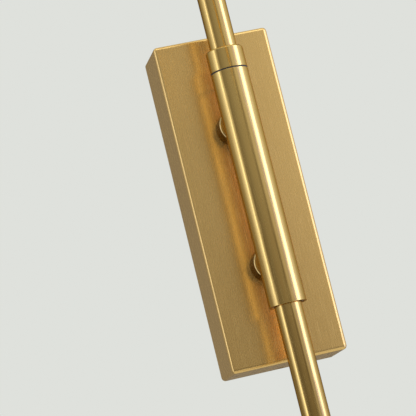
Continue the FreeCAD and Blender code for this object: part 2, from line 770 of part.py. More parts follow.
def tongue(name, neck, collar_radius, collar_length):
    """A flat round-ended tongue with a bar behind it and a round collar. The pivot is at its own origin."""
    body = new_body(name)
    sketch = new_sketch(body, "YZ_Plane")
    draw_circle(sketch, "0", "0", "fork_radius")
    pad(body, sketch, "tongue_thickness", both_ways=True)
    sketch = new_sketch(body, "YZ_Plane")
    half = "tongue_neck_height / 2"
    draw_rectangle(sketch, f"-{half}", "0", half, f"{neck} + {collar_length} / 2")
    pad(body, sketch, "tongue_thickness", both_ways=True)
    sketch = new_sketch(body, "XZ_Plane")
    draw_outline(
        sketch,
        [
            ("0", neck),
            (f"{collar_radius} - ferrule_chamfer", neck),
            (collar_radius, f"{neck} + ferrule_chamfer"),
            (collar_radius, f"{neck} + {collar_length} - ferrule_chamfer"),
            (f"{collar_radius} - ferrule_chamfer", f"{neck} + {collar_length}"),
            ("0", f"{neck} + {collar_length}"),
        ],
    )
    revolve(body, sketch)
    drill(body, "YZ_Plane", "0", "0", "pivot_hole")
    return body


def pivot_bolt(label, name, y):
    """A shouldered bolt across a fork, with a low round head on the left cheek's flat."""
    body = turned(
        name,
        [
            ("0", "-fork_flat - pivot_head_thickness"),
            ("pivot_head_radius - pivot_head_chamfer", "-fork_flat - pivot_head_thickness"),
            ("pivot_head_radius", "-fork_flat - pivot_head_thickness + pivot_head_chamfer"),
            ("pivot_head_radius", "-fork_flat"),
            ("pivot_radius", "-fork_flat"),
            ("pivot_radius", "fork_flat + pivot_thread_length"),
            ("0", "fork_flat + pivot_thread_length"),
        ],
    )
    place(body, y=y, z="elbow_z", turn=TO_THE_RIGHT)
    return keep(body, label)


def friction_washers(label, name, y):
    """One thin washer each side of a tongue."""
    thickness = "((fork_slot_width - tongue_thickness) / 2)"
    left = ring(name + "Left", "fork_radius", "pivot_hole", thickness)
    right = ring(name + "Right", "fork_radius", "pivot_hole", thickness)
    place(left, x="-fork_slot_width / 2", y=y, z="elbow_z", turn=TO_THE_RIGHT)
    place(right, x="tongue_thickness / 2", y=y, z="elbow_z", turn=TO_THE_RIGHT)
    return group(label, [left, right])


def thumb_nut(label, name, y):
    """A fluted round nut on the bolt's end, which sets the joint's friction."""
    body = turned(
        name,
        [
            ("pivot_hole", "0"),
            ("thumb_radius", "0"),
            ("thumb_radius", "thumb_length - thumb_chamfer"),
            ("thumb_radius - thumb_chamfer", "thumb_length"),
            ("0", "thumb_length"),
            ("0", "thumb_bore_depth"),
            ("pivot_hole", "thumb_bore_depth"),
        ],
    )
    flutes(body, "flute_radius", "thumb_radius", "flute_count")
    place(body, x="fork_flat", y=y, z="elbow_z", turn=TO_THE_RIGHT)
    return keep(body, label)


def elbow_tongue():
    """The arm's root: a tongue in the pole's fork with a bored ferrule for the arm tube."""
    body = tongue("ElbowTongue", "elbow_neck", "ferrule_radius", "ferrule_length")
    sketch = new_sketch(body, "XY_Plane", "elbow_neck + ferrule_length")
    draw_circle(sketch, "0", "0", "arm_radius + press_fit")
    pocket(body, sketch, "ferrule_depth")
    place(body, y="axis_y", z="elbow_z", turn=OUT_FROM_WALL)
    return keep(body, "elbow_tongue")


def arm_tube():
    body = tube("ArmTube", "arm_radius", "arm_bore", "arm_length", "tube_chamfer")
    place(body, y="axis_y - (tube_seat)", z="elbow_z", turn=OUT_FROM_WALL)
    return keep(body, "arm_tube")


# ---------------------------------------------------------------- head


def head_tongue():
    """The head's root: a tongue in the arm's fork with a threaded nipple that carries the cup."""
    body = tongue("HeadTongue", "head_neck", "head_collar_radius", "head_collar_length")
    sketch = new_sketch(body, "XY_Plane", "head_neck + head_collar_length")
    draw_circle(sketch, "0", "0", "nipple_radius")
    pad(body, sketch, "nipple_length")
    place(body, y="head_y", z="elbow_z", turn=DOWN)
    return keep(body, "head_tongue")


def head_nut():
    nut = hex_nut("HeadNut", "nut_radius", "nipple_radius + thread_fit", "head_nut_thickness")
    place(nut, y="head_y", z="cup_top_z - cup_wall", turn=DOWN)
    return keep(nut, "head_nut")


def socket_cup():
    """A drawn brass cup, open below, with a hole in its front for the switch stem."""
    body = turned(
        "SocketCup",
        [
            ("nipple_radius + thread_fit", "0"),
            ("cup_radius - cup_round", "0", "cup_round", -1),
            ("cup_radius", "cup_round"),
            ("cup_radius", "cup_length"),
            ("cup_radius - cup_wall", "cup_length"),
            ("cup_radius - cup_wall", "cup_round"),
            ("cup_radius - cup_round", "cup_wall"),
            ("nipple_radius + thread_fit", "cup_wall"),
        ],
    )
    sketch = new_sketch(body, "XZ_Plane")
    draw_circle(sketch, "0", "switch_drop", "switch_stem_hole_radius")
    pocket(body, sketch, "cup_radius + overshoot")
    place(body, y="head_y", z="cup_top_z", turn=DOWN)
    return keep(body, "socket_cup")


def lampholder():
    """A moulded screw lampholder with the switch inside, threaded on the nipple."""
    body = turned(
        "Lampholder",
        [
            ("nipple_radius + thread_fit", "0"),
            ("holder_radius", "0"),
            ("holder_radius", "holder_length - holder_skirt_length"),
            ("holder_skirt_radius", "holder_length - holder_skirt_length"),
            ("holder_skirt_radius", "holder_length"),
            ("holder_mouth_radius", "holder_length"),
            ("holder_mouth_radius", "holder_length - holder_mouth_depth"),
            ("lamp_cap_radius + lamp_fit", "holder_length - holder_mouth_depth"),
            ("lamp_cap_radius + lamp_fit", "holder_length - holder_socket_depth - lamp_cap_tip_length"),
            ("0", "holder_length - holder_socket_depth - lamp_cap_tip_length"),
            ("0", "nipple_hole_depth"),
            ("nipple_radius + thread_fit", "nipple_hole_depth"),
        ],
    )
    sketch = new_sketch(body, "XZ_Plane", "-holder_radius - overshoot")
    draw_circle(sketch, "0", "switch_drop - holder_top", "switch_stem_radius + running_fit")
    pocket(body, sketch, "overshoot + switch_stem_sink + switch_stem_room", reverse=True)
    place(body, y="head_y", z="cup_top_z - holder_top", turn=DOWN)
    return keep(body, "lampholder")


def lamp_cap():
    """The bulb's metal screw cap with its end contact."""
    body = turned(
        "LampCap",
        [
            ("0", "-lamp_cap_length - lamp_cap_tip_length"),
            ("lamp_cap_tip_radius", "-lamp_cap_length - lamp_cap_tip_length"),
            ("lamp_cap_radius", "-lamp_cap_length"),
            ("lamp_cap_radius", "0"),
            ("0", "0"),
        ],
    )
    place(body, y="head_y", z="lamp_z", turn=DOWN)
    return keep(body, "lamp_cap")


def glass_globe():
    """The bulb's hollow glass: a neck, a cone and a globe, with a hollow of a few straight facets."""
    inner = "(glass_radius - glass_wall)"
    across = "cos(glass_angle)"
    along = "sin(glass_angle)"
    hollow = []
    for step in range(1, HOLLOW_STEPS + 1):
        angle = f"(90 - {step} * (90 + glass_angle) / {HOLLOW_STEPS})"
        hollow.append((f"{inner} * cos({angle})", f"glass_height + {inner} * sin({angle})"))
    body = turned(
        "GlassGlobe",
        [
            ("glass_neck_radius - glass_wall", "0"),
            ("glass_neck_radius", "0"),
            ("glass_neck_radius", "glass_neck_length"),
            (f"glass_radius * {across}", f"glass_height - glass_radius * {along}", "glass_radius", -1),
            ("0", "glass_height + glass_radius"),
            ("0", f"glass_height + {inner}"),
            *hollow,
            ("glass_neck_radius - glass_wall", "glass_neck_length"),
        ],
    )
    place(body, y="head_y", z="lamp_z", turn=DOWN)
    return keep(body, "glass_globe")


def shade():
    """A spun cone with a flat top, a round shoulder and a folded hem."""
    shoulder_x = "(shade_top_radius + shade_round * sin(shade_side))"
    shoulder_y = "(shade_round - shade_round * cos(shade_side))"
    inner_round = "(shade_round - shade_wall)"
    inner_x = f"(shade_top_radius + {inner_round} * sin(shade_side))"
    inner_y = f"(shade_round - {inner_round} * cos(shade_side))"
    rim_radius = f"({shoulder_x} + (shade_height - {shoulder_y}) * tan(shade_lean))"
    hem_radius = f"({rim_radius} - shade_hem_height * tan(shade_lean))"
    inner_rim = f"({inner_x} + (shade_height - {inner_y}) * tan(shade_lean))"
    body = turned(
        "Shade",
        [
            ("holder_skirt_radius + shade_hole_fit", "0"),
            ("shade_top_radius", "0", "shade_round", -1),
            (shoulder_x, shoulder_y),
            (hem_radius, "shade_height - shade_hem_height"),
            (f"{hem_radius} + shade_hem_proud", "shade_height - shade_hem_height"),
            (f"{rim_radius} + shade_hem_proud", "shade_height"),
            (inner_rim, "shade_height"),
            (inner_x, inner_y, inner_round, 1),
            ("shade_top_radius", "shade_wall"),
            ("holder_skirt_radius + shade_hole_fit", "shade_wall"),
        ],
    )
    place(body, y="head_y", z="cup_top_z - cup_length", turn=DOWN)
    return keep(body, "shade")


def shade_ring():
    """The threaded ring that clamps the shade's top from below."""
    inner = "(holder_skirt_radius + thread_fit)"
    body = tube("ShadeRing", "ring_radius", inner, "ring_length", "tube_chamfer")
    place(body, y="head_y", z="cup_top_z - cup_length - shade_wall", turn=DOWN)
    return keep(body, "shade_ring")


def switch_knob():
    """A small fluted knob on a stem that turns in the lampholder."""
    stem = "(cup_radius + switch_gap - holder_radius + switch_stem_sink)"
    body = turned(
        "SwitchKnob",
        [
            ("0", f"-{stem}"),
            ("switch_stem_radius", f"-{stem}"),
            ("switch_stem_radius", "0"),
            ("switch_radius", "0"),
            ("switch_radius", "switch_length - switch_chamfer"),
            ("switch_radius - switch_chamfer", "switch_length"),
            ("0", "switch_length"),
        ],
    )
    flutes(body, "switch_flute_radius", "switch_radius", "switch_flute_count")
    place(body, y="head_y - cup_radius - switch_gap", z="switch_z", turn=OUT_FROM_WALL)
    return keep(body, "switch_knob")


# ---------------------------------------------------------------- wiring parts inside the cover

TERMINALS = (-1, 0, 1)


def terminal_block():
    """A moulded block on the bracket with three lead holes and three screw holes."""
    body = new_body("TerminalBlock")
    sketch = new_sketch(body, "XZ_Plane", "bracket_thickness")
    half_height = "block_height / 2"
    draw_rectangle(
        sketch, "-block_width / 2", f"block_z - {half_height}", "block_width / 2", f"block_z + {half_height}"
    )
    pad(body, sketch, "block_depth")
    sketch = new_sketch(body, "XY_Plane")
    middle = "-bracket_thickness - block_depth / 2"
    for step in TERMINALS:
        draw_circle(sketch, f"{step} * block_pitch", middle, "block_hole_radius")
    pocket(body, sketch)
    sketch = new_sketch(body, "XZ_Plane", "bracket_thickness + block_depth")
    for step in TERMINALS:
        draw_circle(sketch, f"{step} * block_pitch", "block_z", "block_screw_radius + thread_fit")
    pocket(body, sketch, "block_screw_length")
    return keep(body, "terminal_block")


def terminal_screws():
    screws = []
    for step in TERMINALS:
        screw = cylinder("TerminalScrew", "block_screw_radius", "block_screw_length - block_screw_recess")
        start = "-bracket_thickness - block_depth + block_screw_length"
        screws.append(place(screw, x=f"{step} * block_pitch", y=start, z="block_z", turn=OUT_FROM_WALL))
    return group("terminal_screws", screws)


def earth_screw():
    """A pan-head screw through the bracket."""
    body = turned(
        "EarthScrew",
        [
            ("0", "-bracket_thickness"),
            ("earth_screw_radius", "-bracket_thickness"),
            ("earth_screw_radius", "earth_washer_thickness"),
            ("earth_head_radius", "earth_washer_thickness"),
            ("earth_head_radius", "earth_washer_thickness + earth_head_height / 2"),
            ("earth_head_radius / 2", "earth_washer_thickness + earth_head_height"),
            ("0", "earth_washer_thickness + earth_head_height"),
        ],
    )
    place(body, y="-bracket_thickness", z="earth_rise", turn=OUT_FROM_WALL)
    return keep(body, "earth_screw")


def earth_washer():
    washer = ring(
        "EarthWasher", "earth_washer_radius", "earth_screw_radius + thread_fit", "earth_washer_thickness"
    )
    place(washer, y="-bracket_thickness", z="earth_rise", turn=OUT_FROM_WALL)
    return keep(washer, "earth_washer")


# ---------------------------------------------------------------- the lamp

wall_bracket()
back_cover()
stiffener_plate()
cover_screws()
standoff("upper_standoff", "UpperStandoff", "post_z", "sleeve_bore + spigot_fit")
standoff("lower_standoff", "LowerStandoff", "-(post_z)", "pole_bore - spigot_reach")
standoff_washers()
standoff_nuts()
pivot_sleeve()
bush("upper_bush", "UpperBush", "sleeve_top - bush_length")
bush("lower_bush", "LowerBush", "-(sleeve_top) + bush_inset")
thrust_washer()
terminal_block()
terminal_screws()
earth_screw()
earth_washer()

pole()
stop_collar()
collar_grub_screw()
pole_end_cap()
place(fork("elbow_fork", "ElbowFork", "pole_bore - press_fit", "pole_radius"), y="axis_y", z="pole_above")
pivot_bolt("elbow_bolt", "ElbowBolt", "axis_y")
thumb_nut("elbow_thumb_nut", "ElbowThumbNut", "axis_y")

elbow_tongue()
friction_washers("elbow_friction_washers", "ElbowFriction", "axis_y")
arm_tube()
place(
    fork("arm_fork", "ArmFork", "arm_bore - press_fit", "arm_radius + ferrule_chamfer"),
    y="arm_end_y",
    z="elbow_z",
    turn=OUT_FROM_WALL,
)
pivot_bolt("head_bolt", "HeadBolt", "head_y")
thumb_nut("head_thumb_nut", "HeadThumbNut", "head_y")

head_tongue()
friction_washers("head_friction_washers", "HeadFriction", "head_y")
head_nut()
socket_cup()
lampholder()
lamp_cap()
glass_globe()
shade()
shade_ring()
switch_knob()

doc.recompute()

# ---------------------------------------------------------------- check and write

for item in doc.Objects:
    if "Invalid" in item.State or "Error" in item.State:
        raise RuntimeError(f"{item.Label} failed: {item.State}")
for piece in pieces:
    if piece.Shape.isNull() or not piece.Shape.isValid() or not piece.Shape.Solids:
        raise RuntimeError(f"{piece.Label} has no valid solid")

os.makedirs("parts", exist_ok=True)
for piece in pieces:
    piece.Shape.exportStep(os.path.join("parts", piece.Label + ".step"))
    box = piece.Shape.BoundBox
    print(
        f"{piece.Label:24s} solids {len(piece.Shape.Solids)} volume {piece.Shape.Volume:10.1f} "
        f"x {box.XMin:7.1f} {box.XMax:7.1f} y {box.YMin:7.1f} {box.YMax:7.1f} "
        f"z {box.ZMin:7.1f} {box.ZMax:7.1f}"
    )
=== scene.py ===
import math

import bpy
from mathutils import Matrix, Vector


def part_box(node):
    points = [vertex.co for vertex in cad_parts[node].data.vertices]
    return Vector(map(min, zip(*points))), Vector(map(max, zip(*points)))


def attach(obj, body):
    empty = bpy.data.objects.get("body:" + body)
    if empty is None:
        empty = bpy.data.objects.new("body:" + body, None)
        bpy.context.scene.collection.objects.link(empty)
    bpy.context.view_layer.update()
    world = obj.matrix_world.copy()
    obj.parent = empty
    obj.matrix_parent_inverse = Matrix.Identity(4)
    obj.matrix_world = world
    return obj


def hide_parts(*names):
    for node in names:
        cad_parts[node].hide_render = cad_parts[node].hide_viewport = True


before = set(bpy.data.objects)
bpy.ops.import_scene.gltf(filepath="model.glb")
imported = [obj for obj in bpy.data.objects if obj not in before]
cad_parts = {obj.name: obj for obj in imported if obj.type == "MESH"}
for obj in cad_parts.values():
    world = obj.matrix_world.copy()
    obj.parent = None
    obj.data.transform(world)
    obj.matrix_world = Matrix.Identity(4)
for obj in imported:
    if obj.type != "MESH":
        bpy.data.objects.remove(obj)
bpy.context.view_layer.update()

# ------------------------------------------------------------------ wall bracket
# A steel strap, screwed flat to the wall, with an ear bent forward at each end. It is punched from
# 2 mm sheet and bright zinc plated, so it has a fine crystalline bloom and a faint blue cast.

ZINC_TONES = ((0.56, 0.58, 0.60, 1), (0.70, 0.71, 0.71, 1))
ZINC_BLOOM_SCALE = 90.0
ZINC_BLOOM_SPAN = (0.35, 0.65)
ZINC_GRAIN_SCALE = 1400.0
ZINC_GRAIN_DEPTH = 0.00004


class Wire:
    """One output of a material's node. Sums written on it add Math nodes, and node() adds any
    other node."""

    def __init__(self, tree, socket=None):
        self.tree = tree
        self.socket = socket

    def node(self, kind, settings=None, values=None, output=0):
        node = self.tree.nodes.new(kind)
        for name, value in (settings or {}).items():
            if name == "stops":
                ramp = node.color_ramp
                while len(ramp.elements) < len(value):
                    ramp.elements.new(1.0)
                for element, (position, colour) in zip(ramp.elements, value):
                    element.position = position
                    element.color = (*colour, 1.0)
            else:
                setattr(node, name, value)
        for name, value in (values or {}).items():
            if isinstance(value, Wire):
                self.tree.links.new(value.socket, node.inputs[name])
            else:
                node.inputs[name].default_value = value
        return Wire(self.tree, node.outputs[output])

    def math(self, operation, first, second=0.0):
        return self.node("ShaderNodeMath", {"operation": operation}, {0: first, 1: second})

    def __add__(self, other):
        return self.math("ADD", self, other)

    def __radd__(self, other):
        return self.math("ADD", other, self)

    def __sub__(self, other):
        return self.math("SUBTRACT", self, other)

    def __rsub__(self, other):
        return self.math("SUBTRACT", other, self)

    def __mul__(self, other):
        return self.math("MULTIPLY", self, other)

    def __rmul__(self, other):
        return self.math("MULTIPLY", other, self)

    def __truediv__(self, other):
        return self.math("DIVIDE", self, other)

    def __rtruediv__(self, other):
        return self.math("DIVIDE", other, self)

    def split(self):
        """The three numbers of a vector."""
        return [self.node("ShaderNodeSeparateXYZ", None, {0: self}, axis) for axis in range(3)]

    def between(self, low, high):
        """0 below low, 1 above high, and a soft step from one to the other."""
        settings = {"interpolation_type": "SMOOTHSTEP"}
        values = {"Value": self, "From Min": low, "From Max": high}
        return self.node("ShaderNodeMapRange", settings, values)

    def blend(self, first, second):
        """The colour first where this is 0, and second where it is 1."""
        values = {0: self, 6: first, 7: second}
        return self.node("ShaderNodeMix", {"data_type": "RGBA"}, values, output=2)


class Finish:
    """A material being mixed: its node tree, the piece's own coordinates and its shader."""

    def __init__(self, name, **constants):
        self.material = bpy.data.materials.new(name)
        self.material.use_nodes = True
        tree = self.material.node_tree
        self.shader = tree.nodes["Principled BSDF"]
        self.start = Wire(tree)
        self.place = self.start.node("ShaderNodeTexCoord", output="Object")
        for socket, value in constants.items():
            self.shader.inputs[socket.replace("_", " ")].default_value = value

    def noise(self, scale, stretch=(1.0, 1.0, 1.0), detail=3.0, rough=0.5):
        """Noise of so many grains to the metre, drawn out along an axis whose stretch is small."""
        values = {"Vector": self.place, "Scale": stretch}
        spot = self.start.node("ShaderNodeMapping", None, values)
        values = {"Vector": spot, "Scale": scale, "Detail": detail, "Roughness": rough}
        return self.start.node("ShaderNodeTexNoise", None, values)

    def set(self, **wires):
        for socket, wire in wires.items():
            self.start.tree.links.new(wire.socket, self.shader.inputs[socket.replace("_", " ")])

    def bump(self, height, distance):
        values = {"Height": height, "Distance": distance}
        self.set(Normal=self.start.node("ShaderNodeBump", None, values))


def paint(piece, *finishes):
    """Gives a piece its materials, in the order of its material indices."""
    piece.data.materials.clear()
    for finish in finishes:
        piece.data.materials.append(finish.material)


zinc = Finish("zinc_plate", Metallic=1.0)
zinc_bloom = zinc.noise(ZINC_BLOOM_SCALE, detail=5.0)
zinc_grain = zinc.noise(ZINC_GRAIN_SCALE, detail=2.0)
zinc.set(
    Base_Color=zinc_bloom.between(*ZINC_BLOOM_SPAN).blend(*ZINC_TONES),
    Roughness=0.30 + zinc_grain * 0.18,
)
zinc.bump(zinc_grain, ZINC_GRAIN_DEPTH)
paint(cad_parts["wall_bracket"], zinc)

# ------------------------------------------------------------------ wall cover
# A box of 1.2 mm brass sheet, open at the wall, with its corners and front edges pressed round. It
# is brushed from top to bottom and lacquered satin, and has a screw's hole in its top and bottom.

MM = 0.001
COVER_SHEET = 1.2 * MM
COVER_ROUND = 2.4 * MM
COVER_ROUND_STEPS = 8
SCREW_HOLE_RADIUS = 2.5 * MM
SCREW_HOLE_INSET = 4.4 * MM
SCREW_HOLE_SIDES = 48
CUTTER_OVERRUN = 1.1
WALL_FACING = 0.9
SHARP_ANGLE = math.radians(30)
END_FACE_SLOPE = 0.72

COVER_TONES = ((0.83, 0.541, 0.175, 1), (0.87, 0.573, 0.195, 1))
COVER_FINISH = {
    "rough": 0.18,
    "streak": 0.13,
    "fine": 3200.0,
    "slope": 0.000003,
    "metallic": 0.8,
    "edge_tint": (0.84, 0.79, 0.60, 1),
}
BRUSH_STRETCH = 0.02
BAND_WIDTH = 8
PATINA_SCALE = 14.0
LINE_SHARE, BAND_SHARE, PATINA_SHARE = 0.35, 0.35, 0.3
TONE_SPAN = (0.3, 0.7)
LINE_SPAN = (0.50, 0.62)
BAND_ROUGHNESS = 0.04


def take(piece):
    """Leaves edit mode and makes a piece the active one and the only one selected."""
    if bpy.context.object and bpy.context.object.mode == "EDIT":
        bpy.ops.object.mode_set(mode="OBJECT")
    bpy.ops.object.select_all(action="DESELECT")
    if piece:
        bpy.context.view_layer.objects.active = piece
        piece.select_set(True)


def begin(add, **where):
    """Starts a piece from a primitive, in edit mode and with nothing else selected."""
    take(None)
    add(**where)
    bpy.ops.object.transform_apply(location=True, rotation=True, scale=True)
    bpy.ops.object.mode_set(mode="EDIT")
    return bpy.context.object


def pick(test, kind="face"):
    """In edit mode, selects the faces or edges that pass a test on their centre and direction."""
    bpy.ops.mesh.select_mode(type="FACE" if kind == "face" else "EDGE")
    bpy.ops.mesh.select_all(action="DESELECT")
    bpy.ops.object.mode_set(mode="OBJECT")
    mesh = bpy.context.object.data
    if kind == "face":
        for face in mesh.polygons:
            face.select = bool(test(face.center, face.normal))
    else:
        for edge in mesh.edges:
            start, end = (mesh.vertices[index].co for index in edge.vertices)
            edge.select = bool(test((start + end) / 2, end - start))
    bpy.ops.object.mode_set(mode="EDIT")


def modify(piece, kind, **settings):
    """Adds a modifier and applies it at once."""
    take(piece)
    modifier = piece.modifiers.new(kind.title(), kind)
    for name, value in settings.items():
        setattr(modifier, name, value)
    bpy.ops.object.modifier_apply(modifier=modifier.name)


def finish_piece(piece, name, body, slot, *nodes):
    """Names a piece, smooths it, puts it under its body and hides the nodes it stands for; slot is
    not used.
    """
    take(piece)
    piece.name = name
    piece.data.name = name
    bpy.ops.object.shade_smooth_by_angle(angle=SHARP_ANGLE)
    modify(piece, "WEIGHTED_NORMAL", keep_sharp=True)
    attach(piece, body)
    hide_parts(*nodes)


def brass(name, grain, tones, rough=0.11, streak=0.15, fine=2600.0, slope=0.00001, metallic=1.0,
          edge_tint=(0.42, 0.28, 0.12, 1)):
    """Satin brass under clear lacquer: brushed lines along one axis, and a slow change of tone."""
    metal = Finish(name, Metallic=metallic, Specular_Tint=edge_tint, Coat_Weight=0.30,
                   Coat_Roughness=0.15)
    along = tuple(BRUSH_STRETCH if axis == grain else 1.0 for axis in "XYZ")
    lines = metal.noise(fine, along, detail=3.0, rough=0.6)
    bands = metal.noise(fine / BAND_WIDTH, along, detail=3.0, rough=0.6)
    patina = metal.noise(PATINA_SCALE, detail=2.0)
    tone = lines * LINE_SHARE + bands * BAND_SHARE + patina * PATINA_SHARE
    metal.set(
        Base_Color=tone.between(*TONE_SPAN).blend(*tones),
        Roughness=rough + lines.between(*LINE_SPAN) * streak + bands * BAND_ROUGHNESS,
    )
    metal.bump(lines, slope)
    return metal


cover_brass = brass("cover_brass", "Z", COVER_TONES, **COVER_FINISH)
cover_end_brass = brass("cover_end_brass", "X", COVER_TONES, **COVER_FINISH)

cover_low, cover_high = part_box("back_cover")
cover_size = cover_high - cover_low
cover_middle = (cover_low + cover_high) / 2
cover = begin(bpy.ops.mesh.primitive_cube_add, size=1, location=cover_middle, scale=cover_size)
pick(lambda centre, normal: normal.y > WALL_FACING)
bpy.ops.mesh.delete(type="FACE")
pick(lambda centre, along: centre.y < cover_high.y - MM, "edge")
bpy.ops.mesh.bevel(offset=COVER_ROUND, segments=COVER_ROUND_STEPS, affect="EDGES")
modify(cover, "SOLIDIFY", thickness=COVER_SHEET, offset=-1)

hole_cutter = begin(
    bpy.ops.mesh.primitive_cylinder_add,
    vertices=SCREW_HOLE_SIDES,
    radius=SCREW_HOLE_RADIUS,
    depth=cover_size.z * CUTTER_OVERRUN,
    location=(0, cover_high.y - SCREW_HOLE_INSET, 0),
)
modify(cover, "BOOLEAN", operation="DIFFERENCE", object=hole_cutter, solver="EXACT")
bpy.data.objects.remove(hole_cutter)
finish_piece(cover, "wall_cover", "root", "satin_brass", "back_cover")
paint(cover, cover_brass, cover_end_brass)
for face in cover.data.polygons:
    face.material_index = 1 if abs(face.normal.z) > END_FACE_SLOPE else 0

# ------------------------------------------------------------------ small steel parts
# The stiffener plate and the posts' nuts and washers are zinc-plated steel like the bracket, and so
# are the terminal and earth screws and the head's nut. The headless screws that lock the cover and
# the collar are blackened.


def clouded(name, tones, scale, rough, spread, detail=4.0, grain=0.0, depth=0.0, **constants):
    """A finish whose tone and gloss drift from spot to spot, with a fine grain if it has one."""
    finish = Finish(name, **constants)
    cloud = finish.noise(scale, detail=detail)
    finish.set(Base_Color=cloud.blend(*tones), Roughness=rough + cloud * spread)
    if grain:
        finish.bump(finish.noise(grain), depth)
    return finish


black_steel = clouded("black_steel", ((0.018, 0.018, 0.020, 1), (0.050, 0.048, 0.046, 1)),
                      scale=900.0, rough=0.38, spread=0.2, detail=3.0, Metallic=0.9)
for node in ("stiffener_plate", "standoff_washers", "standoff_nuts", "terminal_screws",
             "earth_screw", "earth_washer", "head_nut"):
    paint(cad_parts[node], zinc)
for node in ("cover_screws", "collar_grub_screw"):
    paint(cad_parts[node], black_steel)

# ------------------------------------------------------------------ posts
# Two turned brass posts, each a round foot with a bright chamfered rim and a narrower neck that is
# saddled to the sleeve. A threaded tail through the cover takes the nut inside. Their brass is made
# darker than the tubes' brass: painted shade for the shade they stand in, between cover and sleeve.

LATHE_SIDES = 128
SAME_SPOT = 1e-6
# Painted shade: darker brass tones that stand in for the shade between cover and sleeve.
SHADED_POST_TONES = ((0.47, 0.31, 0.100, 1), (0.53, 0.355, 0.125, 1))
POST_TAIL_RADIUS = 5.0 * MM
POST_NECK_RADIUS = 6.0 * MM
POST_LENGTH = 12.5 * MM
POST_RIM = 0.7 * MM
POST_FACE_WIDTH = 1.5 * MM
POST_FACE_STEP = 0.6 * MM
POST_FACE_SINK = 0.4 * MM
POST_EDGE = 0.15 * MM
SADDLE_SHARE = 0.72


def turned(outline, centre, axis):
    """Turns an outline of (radius, height) rings about an axis through a point, ring by ring. An
    outline that ends where it began is hollow, and any other is closed by flat faces."""
    hollow = outline[0] == outline[-1]
    piece = begin(
        bpy.ops.mesh.primitive_circle_add,
        vertices=LATHE_SIDES,
        radius=outline[0][0],
        location=(0, 0, outline[0][1]),
        fill_type="NOTHING" if hollow else "NGON",
    )
    bpy.ops.mesh.select_all(action="SELECT")
    for (radius, height), (next_radius, next_height) in zip(outline, outline[1:]):
        rise = (0, 0, next_height - height)
        bpy.ops.mesh.extrude_region_move(TRANSFORM_OT_translate={"value": rise})
        bpy.ops.transform.resize(value=(next_radius / radius, next_radius / radius, 1))
    bpy.ops.mesh.select_all(action="SELECT")
    bpy.ops.mesh.remove_doubles(threshold=SAME_SPOT)
    bpy.ops.mesh.normals_make_consistent(inside=False)
    bpy.ops.object.mode_set(mode="OBJECT")
    piece.location = centre
    piece.rotation_euler = Vector((0, 0, 1)).rotation_difference(Vector(axis)).to_euler()
    bpy.ops.object.transform_apply(location=True, rotation=True, scale=True)
    return piece


def soften(piece, width, segments=3):
    """Breaks a piece's sharp edges with a small round."""
    modify(piece, "BEVEL", width=width, segments=segments, limit_method="ANGLE",
           angle_limit=SHARP_ANGLE)


# Painted shade: a darker copy of the brass, used only for the posts.
shaded_post_brass = brass("shaded_post_brass", "Y", SHADED_POST_TONES, streak=0.2, slope=0.000005,
                   edge_tint=(0.26, 0.22, 0.20, 1))
sleeve_low, sleeve_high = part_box("pivot_sleeve")
POLE_AXIS_Y = (sleeve_low.y + sleeve_high.y) / 2
SLEEVE_RADIUS = (sleeve_high.x - sleeve_low.x) / 2

for node in ("upper_standoff", "lower_standoff"):
    low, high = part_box(node)
    foot_radius = (high.x - low.x) / 2
    face_radius = foot_radius - POST_RIM - POST_FACE_WIDTH
    tail = high.y - cover_low.y
    reach = cover_low.y - POLE_AXIS_Y - SLEEVE_RADIUS * SADDLE_SHARE
    post = turned(
        [
            (POST_TAIL_RADIUS, -tail),
            (POST_TAIL_RADIUS, 0),
            (foot_radius, 0),
            (foot_radius, POST_LENGTH - POST_RIM),
            (foot_radius - POST_RIM, POST_LENGTH),
            (face_radius, POST_LENGTH),
            (face_radius - POST_FACE_STEP, POST_LENGTH - POST_FACE_SINK),
            (POST_NECK_RADIUS, POST_LENGTH - POST_FACE_SINK),
            (POST_NECK_RADIUS, reach),
        ],
        (0, cover_low.y, (low.z + high.z) / 2),
        (0, -1, 0),
    )
    soften(post, POST_EDGE)
    finish_piece(post, node.replace("standoff", "post"), "root", "satin_brass", node)
    paint(post, shaded_post_brass)

# ------------------------------------------------------------------ sleeve, bushes, thrust washer
# The upright tube that the pole turns in, of drawn brass with its ends faced and edges broken. A
# nylon bush lines each end, coloured dark brown as painted shade for the dark gap at the sleeve's
# ends, and a black nylon washer shows as a thin line under the collar. Both tilting joints have
# such washers, and the terminal block is of natural nylon.

TUBE_TONES = ((0.74, 0.48, 0.135, 1), (0.79, 0.54, 0.165, 1))
TUBE_EDGE = 0.2 * MM
SLEEVE_WALL = 1.5 * MM

tube_brass = brass("tube_brass", "Z", TUBE_TONES)


def tube(node, wall, radius, axis, body, name, finish):
    """A round tube in place of a CAD tube, along the same axis and of the same length."""
    low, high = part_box(node)
    axis = Vector(axis)
    length = abs((high - low).dot(axis))
    outline = [
        (radius - wall, 0), (radius, 0), (radius, length), (radius - wall, length),
        (radius - wall, 0),
    ]
    piece = turned(outline, (low + high) / 2 - axis * length / 2, axis)
    soften(piece, TUBE_EDGE)
    finish_piece(piece, name, body, "satin_brass", node)
    paint(piece, finish)


tube("pivot_sleeve", SLEEVE_WALL, SLEEVE_RADIUS, (0, 0, 1), "root", "sleeve", tube_brass)

nylon = clouded("natural_nylon", ((0.74, 0.72, 0.64, 1), (0.86, 0.85, 0.79, 1)),
                scale=60.0, rough=0.42, spread=0.15, grain=1500.0, depth=0.00003, Coat_Weight=0.1)
black_nylon = clouded("black_nylon", ((0.012, 0.011, 0.010, 1), (0.035, 0.033, 0.031, 1)),
                      scale=400.0, rough=0.5, spread=0.15, grain=1800.0, depth=0.00002)
